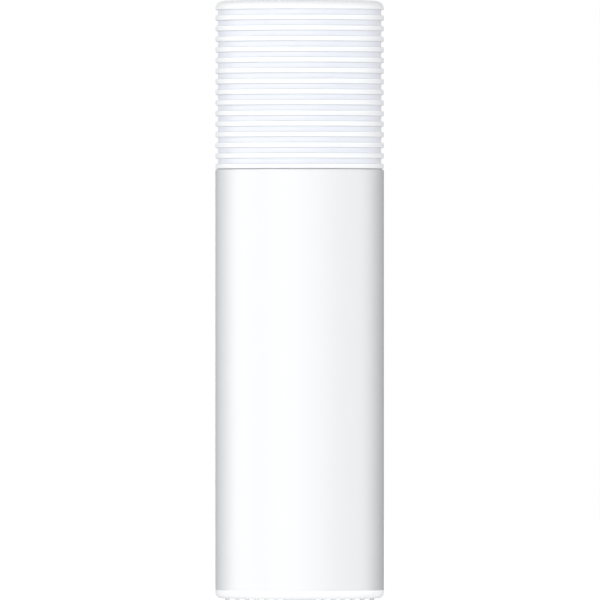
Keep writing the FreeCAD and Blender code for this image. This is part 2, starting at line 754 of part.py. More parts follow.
def antenna_carrier():
    """A column with four wings that hold the antennas upright, on a spoked base."""
    base = post_top + light_ring_thickness
    foot = (base, base + carrier_foot)
    pieces = [ring(9.0, 13.0, foot)]
    for x, y in post_places():
        spoke = box((10.0, post_circle_radius), (-2.2, 2.2), foot)
        spoke.rotate(Vector(0, 0, 0), Vector(0, 0, 1), math.degrees(math.atan2(y, x)))
        pieces += [spoke, rod(2.6, (x, y, foot[0]), (x, y, foot[1]))]
    pieces.append(box((-carrier_column, carrier_column), (-carrier_column, carrier_column),
                      (foot[1] + 6.0, carrier_top)))
    for index, (_, length) in enumerate(antenna_sizes):
        wing_top = antenna_bottom + length + 2.0
        wing = box((0, wing_reach), (-wing_thickness / 2, wing_thickness / 2),
                   (antenna_bottom - 2.0, wing_top))
        leg = box((carrier_column - 1.2, 12.8), (-1.5, 1.5), (foot[0], foot[1] + 6.0))
        brace = box((0, 12.8), (-1.5, 1.5), (foot[1] + 4.4, foot[1] + 6.0))
        for piece in (wing, leg.common(box((9.2, 12.8), (-9, 9), (0, 300))), brace):
            piece.rotate(Vector(0, 0, 0), Vector(0, 0, 1), index * 90.0)
            pieces.append(piece)
    bore = carrier_column - 1.2
    cutters = [box((-bore, bore), (-bore, bore), (foot[1] + 5.0, carrier_top + 1))]
    for x, y in post_places():
        cutters.append(rod(1.35, (x, y, base - 1), (x, y, base + 4)))
    carrier = joined(pieces)
    return carrier.cut(cutters)


def carrier_screws():
    """Four screws through the carrier and the light board into the chassis posts."""
    seat = post_top + light_ring_thickness + carrier_foot
    return Part.Compound([pan_screw((x, y, seat), (x, y, 143.0)) for x, y in post_places()])


def antenna(index):
    """One antenna: a narrow circuit board with a slot between its two arms, held by its wing."""
    width, length = antenna_sizes[index]
    x = (antenna_radius - antenna_thickness / 2, antenna_radius + antenna_thickness / 2)
    z = (antenna_bottom, antenna_bottom + length)
    plate = board_prism((-width / 2, width / 2), z, x, 0.8)
    slot = box((x[0] - 1, x[1] + 1), (0.6, width / 2 - 1.5), (z[0] + length / 2 - 0.4, z[1] - 3.0))
    plate = plate.cut(slot)
    plate.rotate(Vector(0, 0, 0), Vector(0, 0, 1), index * 90.0)
    return plate


def lead_route(index):
    """The corners of one antenna's lead: from its plug on the board up to the antenna's foot."""
    turn = FreeCAD.Rotation(Vector(0, 0, 1), index * 90.0)
    plug_x = board_face_x + lead_plug_height / 2
    plug_y = lead_plug_ys[index]
    face = antenna_radius - antenna_thickness / 2
    up = turn.multVec(Vector(face - lead_radius - 0.02, 3.2, 0))
    waist = turn.multVec(Vector(7.2, 3.2, 0))
    return [
        Vector(plug_x, plug_y, lead_plug_z + lead_plug_radius),
        Vector(plug_x, plug_y, 141.5),
        Vector(waist.x, waist.y, 146.5),
        Vector(waist.x, waist.y, 156.0),
        Vector(up.x, up.y, 157.0),
        Vector(up.x, up.y, antenna_bottom + 6.0),
    ]


def antenna_lead(index):
    """A thin coaxial lead, as straight runs joined by tangent arcs."""
    route = lead_route(index)
    bends = [lead_bend if 0 < i < len(route) - 1 else 0 for i in range(len(route))]
    path = rounded_wire(list(zip(route, bends)), closed=False)
    start = route[0]
    circle = Part.Circle(start, route[1] - route[0], lead_radius)
    profile = Part.Wire(circle.toShape())
    return path.makePipeShell([profile], True, True)


def lead_plugs():
    """The snap-on coaxial plugs on the board."""
    plugs = []
    for y in lead_plug_ys:
        start, end = (board_face_x, y, lead_plug_z), (board_face_x + lead_plug_height, y, lead_plug_z)
        plugs.append(rod(lead_plug_radius, start, end))
    return Part.Compound(plugs)


# ---- The nodes -----------------------------------------------------------------------------------
nodes = {
    "body_sleeve": body_sleeve(),
    "crown_cover": crown_cover(),
    "base_ring": base_ring(),
    "base_screws": base_screws(),
    "foot_grille": foot_grille(),
    "rating_label": rating_label(),
    "port_panel": port_panel(),
    "chassis": chassis(),
    "main_board": main_board(),
    "board_screws": board_screws(),
    "link_lights": link_lights(),
    "power_inlet": power_inlet(),
    "power_pin": power_pin(),
    "pair_button": pair_button(),
    "pair_switch_body": switch_body(pair_z),
    "pair_switch_plunger": plunger(pair_z),
    "reset_switch_body": switch_body(reset_z),
    "reset_switch_plunger": plunger(reset_z),
    "processor": chip(processor_centre, (processor_size, processor_size), processor_height),
    "memory_chip": chip((-12.6, 84.0), (8.0, 12.0), 1.1),
    "flash_chip": chip((10.7, 92.5), (6.0, 8.0), 0.9),
    "ethernet_switch_chip": chip((-14.2, 62.0), (10.0, 10.0), 0.9),
    "power_coil": power_coil(),
    "smoothing_capacitor_1": capacitor((-12.0, 32.0)),
    "smoothing_capacitor_2": capacitor((0.0, 22.0)),
    "processor_pad": pad(processor_centre, (12.0, 12.0), board_face_x + processor_height),
    "heat_sink": heat_sink(),
    "heat_sink_screws": heat_sink_screws(),
    "heat_sink_posts": heat_sink_posts(),
    "light_board": light_board(),
    "status_lights": status_lights(),
    "light_guide": light_guide(),
    "antenna_carrier": antenna_carrier(),
    "carrier_screws": carrier_screws(),
    "lead_plugs": lead_plugs(),
}
for number, socket_z in enumerate(ethernet_z, 1):
    nodes[f"ethernet_shell_{number}"] = ethernet_shell(socket_z)
    nodes[f"ethernet_insert_{number}"] = ethernet_insert(socket_z)
    nodes[f"ethernet_contacts_{number}"] = ethernet_contacts(socket_z)
    nodes[f"line_transformer_{number}"] = line_transformer(socket_z)
for number, shield_centre in enumerate(shield_centres, 1):
    nodes[f"shield_can_{number}"] = shield_can(shield_centre)
    nodes[f"radio_chip_{number}"] = chip(shield_centre, (8.0, 8.0), 0.9)
    nodes[f"shield_pad_{number}"] = pad(shield_centre, (13.0, 20.0), board_face_x + shield_height)
for number in range(len(antenna_sizes)):
    nodes[f"antenna_{number + 1}"] = antenna(number)
    nodes[f"antenna_lead_{number + 1}"] = antenna_lead(number)

os.makedirs("parts", exist_ok=True)
for name, shape in nodes.items():
    good = shape.isValid() and all(solid.Volume > 0 for solid in shape.Solids)
    if not good or not shape.Solids:
        raise ValueError(f"{name} isn't a sound solid")
    shape.exportStep(f"parts/{name}.step")
print(len(nodes), "nodes, tower height", round(crown_top, 2))
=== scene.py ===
# %% [markdown]
# # A mesh wifi node
# The tower is a satin tube between a glossy base and a frosted, ribbed crown. Its CAD parts
# arrive as a fixed frame. The shells that the eye rests on are modelled again with clean, smooth
# meshes, and the parts inside keep their CAD shape and get finishes of their own.

# %% Load the frame
import math

import bmesh
import bpy
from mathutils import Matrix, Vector


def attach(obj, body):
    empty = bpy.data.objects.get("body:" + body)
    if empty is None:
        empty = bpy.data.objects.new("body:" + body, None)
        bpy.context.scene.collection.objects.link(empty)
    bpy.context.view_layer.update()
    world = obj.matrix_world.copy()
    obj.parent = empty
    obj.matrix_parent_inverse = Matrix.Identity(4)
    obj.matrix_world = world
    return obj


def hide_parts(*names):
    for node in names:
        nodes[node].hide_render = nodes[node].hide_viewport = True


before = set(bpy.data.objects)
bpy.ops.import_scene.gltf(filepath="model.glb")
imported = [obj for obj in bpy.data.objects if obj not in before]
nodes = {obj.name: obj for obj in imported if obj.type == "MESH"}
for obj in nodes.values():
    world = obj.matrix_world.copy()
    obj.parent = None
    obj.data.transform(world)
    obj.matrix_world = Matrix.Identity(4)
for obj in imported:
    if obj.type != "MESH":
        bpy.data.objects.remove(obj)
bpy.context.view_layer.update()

# %% [markdown]
# ## Units and selections
# The frame is in metres, and the tower's sizes are easier to read in millimetres, so every size
# is written as a number times MM. Operators act on all that is selected. Each piece therefore
# starts with an empty selection, and faces and edges are then picked by their place, as you would
# click them by hand.

# %% Units
MM = 0.001
NEAR = 0.02 * MM
print("one millimetre is", MM, "units, and places are the same within", NEAR)


# %% Selecting
def select_nothing():
    """Back to object mode with nothing selected."""
    if bpy.context.mode != "OBJECT":
        bpy.ops.object.mode_set(mode="OBJECT")
    bpy.ops.object.select_all(action="DESELECT")


def select_only(piece):
    """Make one piece the selected and active one."""
    select_nothing()
    piece.select_set(True)
    bpy.context.view_layer.objects.active = piece


def pick(piece, kind, test):
    """In edit mode, select the edges or faces that pass the test, and return their number."""
    bpy.ops.mesh.select_mode(type=kind)
    bpy.ops.mesh.select_all(action="DESELECT")
    mesh = bmesh.from_edit_mesh(piece.data)
    found = [part for part in (mesh.edges if kind == "EDGE" else mesh.faces) if test(part)]
    for part in found:
        part.select_set(True)
    bmesh.update_edit_mesh(piece.data)
    return len(found)


# %% Finding level rings
def reach(point):
    """How far a point is from the tower's axis."""
    return math.hypot(point.x, point.y)


def ring_at(radius, height):
    """A test for the edges of the level ring at that radius and height, in millimetres."""
    def test(edge):
        return all(
            abs(reach(v.co) - radius * MM) < NEAR and abs(v.co.z - height * MM) < NEAR
            for v in edge.verts
        )
    return test


def is_level(edge):
    """Whether both ends of an edge are at one height."""
    first, second = edge.verts
    return abs(first.co.z - second.co.z) < NEAR


# %% [markdown]
# ## Turning on a lathe
# Most of the shells are turned shapes. A filled circle is added at one end of the outline, then
# extruded and resized from point to point, exactly as with E and S by hand. Spin could sweep a
# drawn outline too, but extruding leaves no seam and closes both poles by itself.

# %% Turning
ROUND_SIDES = 192


def turn(name, outline):
    """A closed piece whose outline is a list of (radius, height) in millimetres."""
    select_nothing()
    radius, height = outline[0]
    bpy.ops.mesh.primitive_circle_add(
        vertices=ROUND_SIDES, radius=radius * MM, fill_type="NGON", location=(0, 0, height * MM)
    )
    piece = bpy.context.object
    piece.name = piece.data.name = name
    bpy.ops.object.transform_apply(location=True, rotation=True, scale=True)
    bpy.ops.object.mode_set(mode="EDIT")
    bpy.ops.mesh.select_mode(type="FACE")
    bpy.ops.mesh.select_all(action="SELECT")
    for next_radius, next_height in outline[1:]:
        rise = (next_height - height) * MM
        bpy.ops.mesh.extrude_region_move(TRANSFORM_OT_translate={"value": (0, 0, rise)})
        grow = next_radius / radius
        bpy.ops.transform.resize(value=(grow, grow, 1), center_override=(0, 0, next_height * MM))
        radius, height = next_radius, next_height
    bpy.ops.mesh.select_all(action="SELECT")
    bpy.ops.mesh.normals_make_consistent(inside=False)
    print(name, "turned from", len(outline), "points")
    return piece


# %% [markdown]
# ## Rounding and shading
# A moulded or turned edge is never perfectly sharp, and a small round catches a line of light
# that tells the eye how big the part is. Bevel makes that round on the picked edges. Smooth
# shading alone would smear the flats next to it, so Weighted Normal then keeps the big faces
# flat.

# %% Rounding and shading
SMOOTH_UNDER = math.radians(32)


def round_edges(piece, test, radius, segments):
    """In edit mode, round the picked edges, and return how many there were."""
    picked = pick(piece, "EDGE", test)
    bpy.ops.mesh.bevel(offset=radius * MM, segments=segments, affect="EDGES", profile=0.5)
    return picked


def soften(piece, width, sharper_than):
    """Round every edge that is sharper than an angle in degrees."""
    select_only(piece)
    softened = piece.modifiers.new("softened", "BEVEL")
    softened.width = width * MM
    softened.segments = 2
    softened.limit_method = "ANGLE"
    softened.angle_limit = math.radians(sharper_than)
    bpy.ops.object.modifier_apply(modifier=softened.name)


def finish_mesh(piece, body="housing"):
    """Smooth shading that keeps flats flat beside a bevel, and the CAD body it moves with."""
    select_only(piece)
    bpy.ops.object.shade_smooth_by_angle(angle=SMOOTH_UNDER)
    flat_faces = piece.modifiers.new("flat_faces", "WEIGHTED_NORMAL")
    flat_faces.keep_sharp = True
    bpy.ops.object.modifier_apply(modifier=flat_faces.name)
    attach(piece, body)
    print(piece.name, len(piece.data.polygons), "faces")


# %% [markdown]
# ## The crown
# The crown is one moulding: a cup with a spigot below, a flange that rests on the sleeve,
# fourteen ribs and a cap. Ribs could be copied rings joined to a cup, but one turned outline
# makes ribs and grooves in a single skin, as the mould does. It runs down the inner wall, round
# the spigot and up over the ribs, which are slightly narrower at the tip because a mould has to
# let go of them.

# %% The crown's sizes
OUTER = 30.0
SLEEVE_TOP = 153.6
FLANGE_HEIGHT = 1.95
SHADOW_GAP = 0.35
GAP_RADIUS = 29.4
CROWN_TOP = 213.65
CAP_HEIGHT = 3.1
CAP_THICKNESS = 2.05
CROWN_INNER = 27.0
SPIGOT_OUTER = 27.9
SPIGOT_INNER = 26.2
SPIGOT_DEPTH = 6.0
SLOPE_BOTTOM = 1.0
SLOPE_TOP = 2.0
RIB_PITCH = 3.78
RIB_COUNT = 14
GROOVE = 29.05
RIB_DRAFT = 0.175
RIB_TIP_HALF = 0.85
RIB_ROOT_HALF = RIB_TIP_HALF + RIB_DRAFT

cap_bottom = CROWN_TOP - CAP_HEIGHT
print("the crown is", round(CROWN_TOP - SLEEVE_TOP, 2), "mm tall above the sleeve")

# %% The crown's outline
first_rib = SLEEVE_TOP + FLANGE_HEIGHT - RIB_TIP_HALF
crown_outline = [
    (CROWN_INNER, CROWN_TOP - CAP_THICKNESS),
    (CROWN_INNER, SLEEVE_TOP + SLOPE_TOP),
    (SPIGOT_INNER, SLEEVE_TOP + SLOPE_BOTTOM),
    (SPIGOT_INNER, SLEEVE_TOP - SPIGOT_DEPTH),
    (SPIGOT_OUTER, SLEEVE_TOP - SPIGOT_DEPTH),
    (SPIGOT_OUTER, SLEEVE_TOP),
    (GAP_RADIUS, SLEEVE_TOP),
    (GAP_RADIUS, SLEEVE_TOP + SHADOW_GAP),
    (OUTER, SLEEVE_TOP + SHADOW_GAP),
    (OUTER, first_rib + RIB_TIP_HALF),
    (GROOVE, first_rib + RIB_ROOT_HALF),
]
for rib in range(1, RIB_COUNT + 1):
    middle = first_rib + rib * RIB_PITCH
    crown_outline += [
        (GROOVE, middle - RIB_ROOT_HALF),
        (OUTER, middle - RIB_TIP_HALF),
        (OUTER, middle + RIB_TIP_HALF),
        (GROOVE, middle + RIB_ROOT_HALF),
    ]
crown_outline += [(GROOVE, cap_bottom - RIB_DRAFT), (OUTER, cap_bottom), (OUTER, CROWN_TOP)]
crown = turn("crown", crown_outline)
print("the lowest rib is the flange's own, with its middle at", round(first_rib, 2), "mm")


# %% The crown's rounds
def rib_tips(edge):
    """The level rings at the ribs' outer corners, without the cap's top."""
    return is_level(edge) and all(
        reach(v.co) > OUTER * MM - NEAR and v.co.z < cap_bottom * MM + NEAR for v in edge.verts
    )


def groove_roots(edge):
    """The level rings at the bottom corners of the grooves."""
    return is_level(edge) and all(abs(reach(v.co) - GROOVE * MM) < NEAR for v in edge.verts)


tips = round_edges(crown, rib_tips, radius=0.3, segments=3)
roots = round_edges(crown, groove_roots, radius=0.2, segments=2)
round_edges(crown, ring_at(OUTER, CROWN_TOP), radius=2.75, segments=14)
print("rounded", tips // ROUND_SIDES, "rib corners and", roots // ROUND_SIDES, "groove corners")
finish_mesh(crown)
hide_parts("crown_cover")

# %% [markdown]
# ## The sleeve
# The sleeve is a straight tube with a window at the back for the ports. A cylinder with open ends
# gets its wall from Solidify. The window could be drawn into the wall face by face, but a rounded
# block and a Boolean cut it in one step, and cutting after the wall exists gives the window its
# thickness for nothing.

# %% Blocks and cuts
def block(name, x, y, z, corner=0.0, corner_axis="Y", segments=8):
    """A block between (low, high) pairs in millimetres, with its long corners rounded if asked."""
    select_nothing()
    size = [(pair[1] - pair[0]) * MM for pair in (x, y, z)]
    centre = [(pair[0] + pair[1]) / 2 * MM for pair in (x, y, z)]
    bpy.ops.mesh.primitive_cube_add(size=1, location=centre, scale=size)
    piece = bpy.context.object
    piece.name = piece.data.name = name
    bpy.ops.object.transform_apply(location=True, rotation=True, scale=True)
    if corner:
        axis = "XYZ".index(corner_axis)
        bpy.ops.object.mode_set(mode="EDIT")

        def along_axis(edge):
            step = edge.verts[0].co - edge.verts[1].co
            return abs(step[axis]) > 0.99 * step.length
        round_edges(piece, along_axis, corner, segments)
        bpy.ops.object.mode_set(mode="OBJECT")
    return piece


def cut(piece, *cutters, operation="DIFFERENCE"):
    """Take each cutter out of the piece, and throw the cutter away."""
    for cutter in cutters:
        select_only(piece)
        modifier = piece.modifiers.new("cut", "BOOLEAN")
        modifier.operation = operation
        modifier.solver = "EXACT"
        modifier.object = cutter
        bpy.ops.object.modifier_apply(modifier=modifier.name)
        bpy.data.objects.remove(cutter)


# %% The sleeve's tube
SLEEVE_BOTTOM = 3.85
SLEEVE_WALL = 2.0
SLEEVE_TOP_ROUND = 0.3
SMALL_ROUND = 0.12

select_nothing()
bpy.ops.mesh.primitive_cylinder_add(
    vertices=ROUND_SIDES,
    radius=OUTER * MM,
    depth=(SLEEVE_TOP - SLEEVE_BOTTOM) * MM,
    end_fill_type="NOTHING",
    location=(0, 0, (SLEEVE_TOP + SLEEVE_BOTTOM) / 2 * MM),
)
sleeve = bpy.context.object
sleeve.name = sleeve.data.name = "sleeve"
bpy.ops.object.transform_apply(location=True, rotation=True, scale=True)
wall = sleeve.modifiers.new("wall", "SOLIDIFY")
wall.thickness = SLEEVE_WALL * MM
wall.offset = -1
bpy.ops.object.modifier_apply(modifier=wall.name)
bpy.ops.object.mode_set(mode="EDIT")
round_edges(sleeve, ring_at(OUTER, SLEEVE_TOP), SLEEVE_TOP_ROUND, segments=3)
round_edges(sleeve, ring_at(OUTER, SLEEVE_BOTTOM), SMALL_ROUND, segments=2)
bpy.ops.object.mode_set(mode="OBJECT")
print("the sleeve is", round(SLEEVE_TOP - SLEEVE_BOTTOM, 2), "mm tall")

# %% The sleeve's window
WINDOW_HALF = 9.5
WINDOW_BOTTOM = 14.0
WINDOW_TOP = 90.0
WINDOW_CORNER = 3.2

window = block(
    "window",
    (-WINDOW_HALF, WINDOW_HALF),
    (OUTER / 2, OUTER + 10),
    (WINDOW_BOTTOM, WINDOW_TOP),
    corner=WINDOW_CORNER,
)
cut(sleeve, window)
finish_mesh(sleeve)
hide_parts("body_sleeve")

# %% [markdown]
# ## The vent slots
# Air enters through slots between the bars of the foot and goes on through the floor of the base.
# Both parts need the same slots, so one helper makes the cutters for both. Modelling each opening
# twice by hand would leave them out of line. All the blocks are joined into one cutter, and then
# a single Boolean makes the whole pattern.

# %% The gaps between the bars
PAD_HALF = 5.85
BAR_WIDTH = 1.6
BAR_PITCH = 3.43
FIRST_BAR = 8.6
BARS = 6


def gaps_between_bars():
    """The (low, high) x of each gap between the bars, on the +X side."""
    edges = [PAD_HALF]
    for bar in range(BARS):
        middle = FIRST_BAR + bar * BAR_PITCH
        edges += [middle - BAR_WIDTH / 2, middle + BAR_WIDTH / 2]
    return list(zip(edges[0::2], edges[1::2]))


print("gaps at", [(round(low, 2), round(high, 2)) for low, high in gaps_between_bars()])

# %% The vent slots as one cutter
VENT_RADIUS = 18.5
VENT_MARGIN = 1.0
VENT_WEB = 3.0
SLOT_CORNER = 0.7


def vent_cutter(z):
    """Every vent slot as one object, between the (low, high) pair z."""
    slots = []
    for low, high in gaps_between_bars():
        if high > VENT_RADIUS - VENT_MARGIN:
            break
        far = math.sqrt(VENT_RADIUS**2 - high**2)
        for x in ((low, high), (-high, -low)):
            for y in ((VENT_WEB / 2, far), (-far, -VENT_WEB / 2)):
                slots.append(block("slot", x, y, z, SLOT_CORNER, "Z", segments=4))
    select_nothing()
    for slot in slots:
        slot.select_set(True)
    bpy.context.view_layer.objects.active = slots[0]
    bpy.ops.object.join()
    print("joined", len(slots), "slots")
    return bpy.context.object


# %% [markdown]
# ## The base ring
# The base is a glossy end cap. Only its band shows below the sleeve, with a generous round at the
# lower edge. A cylinder could be inset and extruded into the same shape, but the outline shows
# the lip, the floor and the recess for the foot at a glance. It is turned from the middle of its
# underside outwards, then up and in again, and the slots are cut through its floor.

# %% The base ring
BASE_BOTTOM = 1.0
FLOOR_BOTTOM = 2.2
FLOOR_TOP = 3.6
RECESS_RADIUS = 27.0
BASE_LIP_TOP = 7.4
BASE_INNER = 26.3
BASE_ROUND = 2.1
RECESS_ROUND = 0.2
THROUGH_BASE = (0.0, 6.0)

base = turn(
    "base",
    [
        (RECESS_RADIUS, FLOOR_BOTTOM),
        (RECESS_RADIUS, BASE_BOTTOM),
        (OUTER, BASE_BOTTOM),
        (OUTER, SLEEVE_BOTTOM),
        (SPIGOT_OUTER, SLEEVE_BOTTOM),
        (SPIGOT_OUTER, BASE_LIP_TOP),
        (BASE_INNER, BASE_LIP_TOP),
        (BASE_INNER, FLOOR_TOP),
    ],
)
round_edges(base, ring_at(OUTER, BASE_BOTTOM), BASE_ROUND, segments=10)
round_edges(base, ring_at(OUTER, SLEEVE_BOTTOM), SMALL_ROUND, segments=2)
round_edges(base, ring_at(RECESS_RADIUS, BASE_BOTTOM), RECESS_ROUND, segments=2)
bpy.ops.object.mode_set(mode="OBJECT")
cut(base, vent_cutter(THROUGH_BASE))
finish_mesh(base)
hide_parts("base_ring")

# %% [markdown]
# ## The foot
# The foot is a soft grey disc whose underside is milled into bars from front to back, either side
# of a solid middle that carries the label. The bars could be set on a thinner disc one by one,
# but the channels are long blocks, so one Boolean each gives straight walls right to the round
# edge. A light bevel afterwards keeps the rubber from looking razor sharp.

# %% The foot's disc and channels
FOOT_RADIUS = 26.8
BELOW = -1.0
THROUGH_FOOT = (BELOW, 4.0)

foot = turn("foot", [(FOOT_RADIUS, 0.0), (FOOT_RADIUS, FLOOR_BOTTOM)])
bpy.ops.object.mode_set(mode="OBJECT")
last_bar_edge = FIRST_BAR + (BARS - 1) * BAR_PITCH + BAR_WIDTH / 2
channels = [*gaps_between_bars(), (last_bar_edge, OUTER)]
for low, high in channels:
    for x in ((low, high), (-high, -low)):
        cut(foot, block("channel", x, (-OUTER, OUTER), (BELOW, BASE_BOTTOM)))
cut(foot, vent_cutter(THROUGH_FOOT))
print("milled", 2 * len(channels), "channels between the bars")

# %% The foot's label recess and soft edges
LABEL_HALF_WIDTH = 4.5
LABEL_HALF_LENGTH = 16.5
LABEL_TOP = 0.25
LABEL_FIT = 0.2
RECESS_CORNER = 0.6
RUBBER_EDGE = 0.12

half_x, half_y = LABEL_HALF_WIDTH + LABEL_FIT, LABEL_HALF_LENGTH + LABEL_FIT
recess = block(
    "label_recess", (-half_x, half_x), (-half_y, half_y), (BELOW, LABEL_TOP), RECESS_CORNER, "Z"
)
cut(foot, recess)
soften(foot, RUBBER_EDGE, sharper_than=60)
finish_mesh(foot)
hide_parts("foot_grille")

# %% [markdown]
# ## The rating label
# The label is a thin film in the foot's recess. A plane would do from below, but film has a
# thickness that shows as a fine line, so it is a block with four rounded corners. Its printing
# comes later, in its finish.

# %% The rating label
LABEL_FACE = 0.1

label = block(
    "label",
    (-LABEL_HALF_WIDTH, LABEL_HALF_WIDTH),
    (-LABEL_HALF_LENGTH, LABEL_HALF_LENGTH),
    (LABEL_FACE, LABEL_TOP),
    corner=0.5,
    corner_axis="Z",
)
finish_mesh(label)
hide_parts("rating_label")

# %% [markdown]
# ## The port panel
# The panel is a deep tray behind the sleeve's window. Its front follows the tower's curve, which
# is slow to model point by point. Here a block is trimmed to the curve with an intersecting
# cylinder, hollowed by a rounded pocket, and then pierced for the sockets, the button and the
# reset pin. A curved flange behind it holds it in the sleeve.

# %% Round bars
UPRIGHT = (0, 0, 0)
FACING_BACK = (math.pi / 2, 0, 0)


def rod(name, radius, length, centre, rotation, sides):
    """A round bar, with its centre and sizes in millimetres."""
    select_nothing()
    bpy.ops.mesh.primitive_cylinder_add(
        vertices=sides,
        radius=radius * MM,
        depth=length * MM,
        location=[part * MM for part in centre],
        rotation=rotation,
    )
    piece = bpy.context.object
    piece.name = piece.data.name = name
    bpy.ops.object.transform_apply(location=True, rotation=True, scale=True)
    return piece


def pin(name, radius, x, z, y, sides=64):
    """A round bar along Y at (x, z), between the (low, high) pair y."""
    return rod(name, radius, y[1] - y[0], (x, (y[0] + y[1]) / 2, z), FACING_BACK, sides)


def core(name, radius, height=120):
    """A round bar on the tower's axis, from the floor up."""
    return rod(name, radius, height, (0, 0, height / 2), UPRIGHT, ROUND_SIDES)


# %% The panel's tray and flange
PANEL_BACK = 20.0
PANEL_SKIN = 29.7
WINDOW_FIT = 0.2
FLANGE_HALF = 12.0
FLANGE_REACH = 2.2
FLANGE_INNER = 26.6
PAST_SKIN = 34.0

tray_half = WINDOW_HALF - WINDOW_FIT
panel = block(
    "port_tray",
    (-tray_half, tray_half),
    (PANEL_BACK, PAST_SKIN),
    (WINDOW_BOTTOM + WINDOW_FIT, WINDOW_TOP - WINDOW_FIT),
    corner=WINDOW_CORNER - WINDOW_FIT,
)
cut(panel, core("skin", PANEL_SKIN), operation="INTERSECT")
flange = block(
    "flange",
    (-FLANGE_HALF, FLANGE_HALF),
    (10, PAST_SKIN),
    (WINDOW_BOTTOM - FLANGE_REACH, WINDOW_TOP + FLANGE_REACH),
)
cut(flange, core("outside", SPIGOT_OUTER), operation="INTERSECT")
cut(flange, core("inside", FLANGE_INNER))
cut(panel, flange, operation="UNION")
print("tray and flange", len(panel.data.polygons), "faces")

# %% The panel's pocket and openings
PANEL_FLOOR = 21.5
POCKET_HALF = 8.0
POCKET_MARGIN = 1.5
POCKET_CORNER = 1.7
JACK_HALF_WIDTH = 6.85
JACK_HALF_HEIGHT = 8.1
JACK_Z = (42.0, 60.0)
JACK_CORNER = 0.3
POWER_Z = 24.0
POWER_HOLE = 4.15
PAIR_Z = 76.0
PAIR_HOLE = 3.1
RESET_X = -5.0
RESET_Z = 84.5
RESET_HOLE = 0.8
PANEL_EDGE = 0.18

pocket = block(
    "pocket",
    (-POCKET_HALF, POCKET_HALF),
    (PANEL_FLOOR, PAST_SKIN + 2),
    (WINDOW_BOTTOM + POCKET_MARGIN, WINDOW_TOP - POCKET_MARGIN),
    corner=POCKET_CORNER,
)
cut(panel, pocket)
through_floor = (PANEL_BACK - 1, PANEL_FLOOR + 1.5)
for z in JACK_Z:
    jack_z = (z - JACK_HALF_HEIGHT, z + JACK_HALF_HEIGHT)
    jack_x = (-JACK_HALF_WIDTH, JACK_HALF_WIDTH)
    cut(panel, block("jack_hole", jack_x, through_floor, jack_z, corner=JACK_CORNER))
cut(panel, pin("snout_hole", POWER_HOLE, 0, POWER_Z, through_floor))
cut(panel, pin("button_hole", PAIR_HOLE, 0, PAIR_Z, through_floor))
cut(panel, pin("pin_hole", RESET_HOLE, RESET_X, RESET_Z, through_floor, sides=32))
soften(panel, PANEL_EDGE, sharper_than=50)
finish_mesh(panel)
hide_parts("port_panel")

# %% [markdown]
# ## The pairing button
# The button is a short stem with a flange behind the panel, and a shallow dish for the fingertip.
# A sphere could scoop the dish out, but it would leave a ragged edge in the mesh. Insetting the
# face and pushing it in, ring by ring, keeps every ring round and even.

# %% The button's stem and dish
BUTTON_RADIUS = 3.0
BUTTON_BACK = 19.4
BUTTON_FRONT = 22.5
BUTTON_ROUND = 0.45
DISH_RIM = 0.25
DISH_STEP = 0.45
DISH_RINGS = 4
DISH_FALL = 0.07

button = pin(
    "pair_button_cap", BUTTON_RADIUS, 0, PAIR_Z, (BUTTON_BACK, BUTTON_FRONT), sides=96
)
bpy.ops.object.mode_set(mode="EDIT")


def at_front(part):
    """Whether all of an edge or face is in the plane that the fingertip meets."""
    return all(v.co.y > BUTTON_FRONT * MM - NEAR / 2 for v in part.verts)


round_edges(button, at_front, BUTTON_ROUND, segments=5)
pick(button, "FACE", at_front)
bpy.ops.mesh.inset(thickness=DISH_RIM * MM)
for ring in range(DISH_RINGS):
    fall = DISH_FALL * MM * (1 - ring / (DISH_RINGS + 1))
    bpy.ops.mesh.inset(thickness=DISH_STEP * MM)
    bpy.ops.transform.translate(value=(0, -fall, 0))
bpy.ops.object.mode_set(mode="OBJECT")
print("the dish has", DISH_RINGS, "rings")

# %% The button's flange
BACKING_HALF = 4.2
BACKING_REACH = 6.3
BACKING_Y = (19.2, 19.9)

backing = block(
    "backing",
    (-BACKING_REACH, BACKING_HALF),
    BACKING_Y,
    (PAIR_Z - BACKING_HALF, PAIR_Z + BACKING_HALF),
    corner=1.0,
)
cut(button, backing, operation="UNION")
finish_mesh(button, "pair_button")
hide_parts("pair_button")

# %% [markdown]
# ## Finishes
# A moulded surface is never one flat colour. Each finish starts from a Principled shader and adds
# fine noise to its colour, its roughness and its bump. Painted images could do this too, but
# noise needs no unwrapping. It reads Object coordinates, which are metres on the part itself, so
# the grain has a real size and stays put when the part moves.

# %% New shader nodes
def new_node(tree, kind, values=None, **settings):
    """A new shader node with its settings, and the values of its sockets by name or number."""
    node = tree.nodes.new("ShaderNode" + kind)
    for setting, value in settings.items():
        setattr(node, setting, value)
    for socket, value in (values or {}).items():
        node.inputs[socket].default_value = value
    return node


def with_alpha(colour):
    """A colour with the full alpha that a socket wants."""
    return (*colour, 1)


# %% The finish builder
BROAD_SCALE = 90.0
GLOSS_SPREAD = 0.06
LEAST_ROUGHNESS = 0.02


